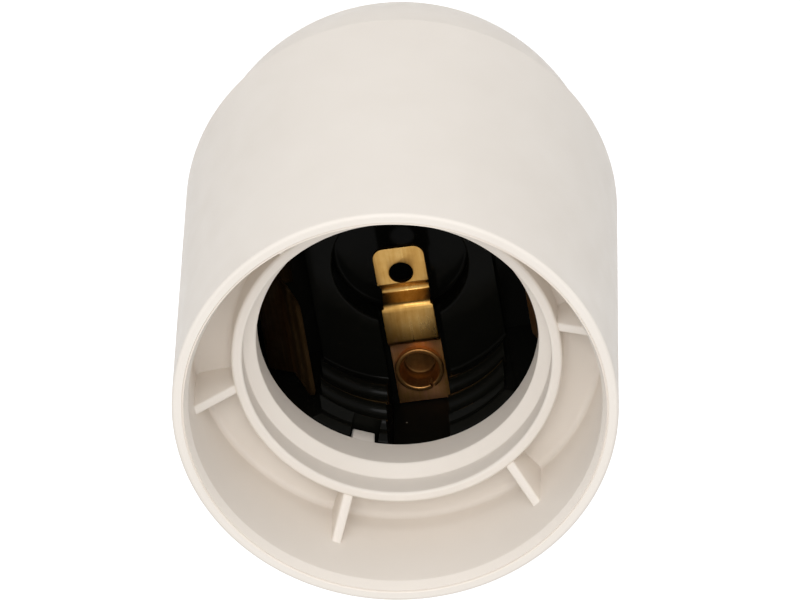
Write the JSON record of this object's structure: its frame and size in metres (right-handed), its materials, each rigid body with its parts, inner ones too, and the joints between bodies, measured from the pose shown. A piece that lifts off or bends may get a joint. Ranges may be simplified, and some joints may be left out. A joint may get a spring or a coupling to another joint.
{
  "type": "edison screw lampholder",
  "caption": "White skirted lampholder with an Edison screw socket, brass centre and side contacts, screw terminals and a domed cap with a threaded pipe entry.",
  "frame": {"origin": "centre of the neck's end face, on the holder's axis", "axes": "+Z along the axis from the neck out of the mouth, +Y from the axis towards the riveted end of the centre contact"},
  "size_m": [0.044, 0.044, 0.065],
  "materials": {
    "white_plastic": "warm white thermoplastic, satin",
    "black_plastic": "glossy black moulding",
    "contact_brass": "rolled brass strip",
    "plated_steel": "zinc plated"
  },
  "bodies": {
    "cap": {"cap": "white_plastic", "entry_bush": "plated_steel"},
    "insert": {"insert": "black_plastic", "centre_contact": "contact_brass", "centre_rivet": "contact_brass", "side_contact_right": "contact_brass", "side_contact_left": "contact_brass", "side_contact_rivets": "contact_brass", "neutral_bridge": "contact_brass", "line_terminal": "contact_brass"},
    "shell": {"shell": "white_plastic"},
    "line_clamp": {"line_clamp": "plated_steel"},
    "line_screw": {"line_screw": "plated_steel"},
    "neutral_clamp": {"neutral_clamp": "plated_steel"},
    "neutral_screw": {"neutral_screw": "plated_steel"},
    "lock_screw": {"lock_screw": "plated_steel"}
  },
  "joints": [
    {"name": "insert_turn", "type": "hinge", "parent": "cap", "child": "insert", "pos_m": [0, 0, 0.035], "axis": [0, 0, 1], "range_deg": [0, 720]},
    {"name": "shell_lift", "type": "slide", "parent": "insert", "child": "shell", "axis": [0, 0, 1], "range_m": [0, 0.0072]},
    {"name": "line_clamp_travel", "type": "slide", "parent": "insert", "child": "line_clamp", "axis": [0, 0, -1], "range_m": [0, 0.0018]},
    {"name": "line_screw_turn", "type": "hinge", "parent": "line_clamp", "child": "line_screw", "pos_m": [-0.00763, 0.00977, 0.029], "axis": [0, 0, -1], "range_deg": [0, 1080]},
    {"name": "neutral_clamp_travel", "type": "slide", "parent": "insert", "child": "neutral_clamp", "axis": [0, 0, -1], "range_m": [0, 0.0018]},
    {"name": "neutral_screw_turn", "type": "hinge", "parent": "neutral_clamp", "child": "neutral_screw", "pos_m": [0, -0.0124, 0.029], "axis": [0, 0, -1], "range_deg": [0, 1080]},
    {"name": "lock_feed", "type": "slide", "parent": "cap", "child": "lock_screw", "axis": [0, 1, 0], "range_m": [0, 0.003]}
  ],
  "couplings": [
    {"joint": "shell_lift", "follows": "insert_turn", "m_per_rad": 0.00057296},
    {"joint": "line_screw_turn", "follows": "line_clamp_travel", "rad_per_m": 10472},
    {"joint": "neutral_screw_turn", "follows": "neutral_clamp_travel", "rad_per_m": 10472}
  ]
}
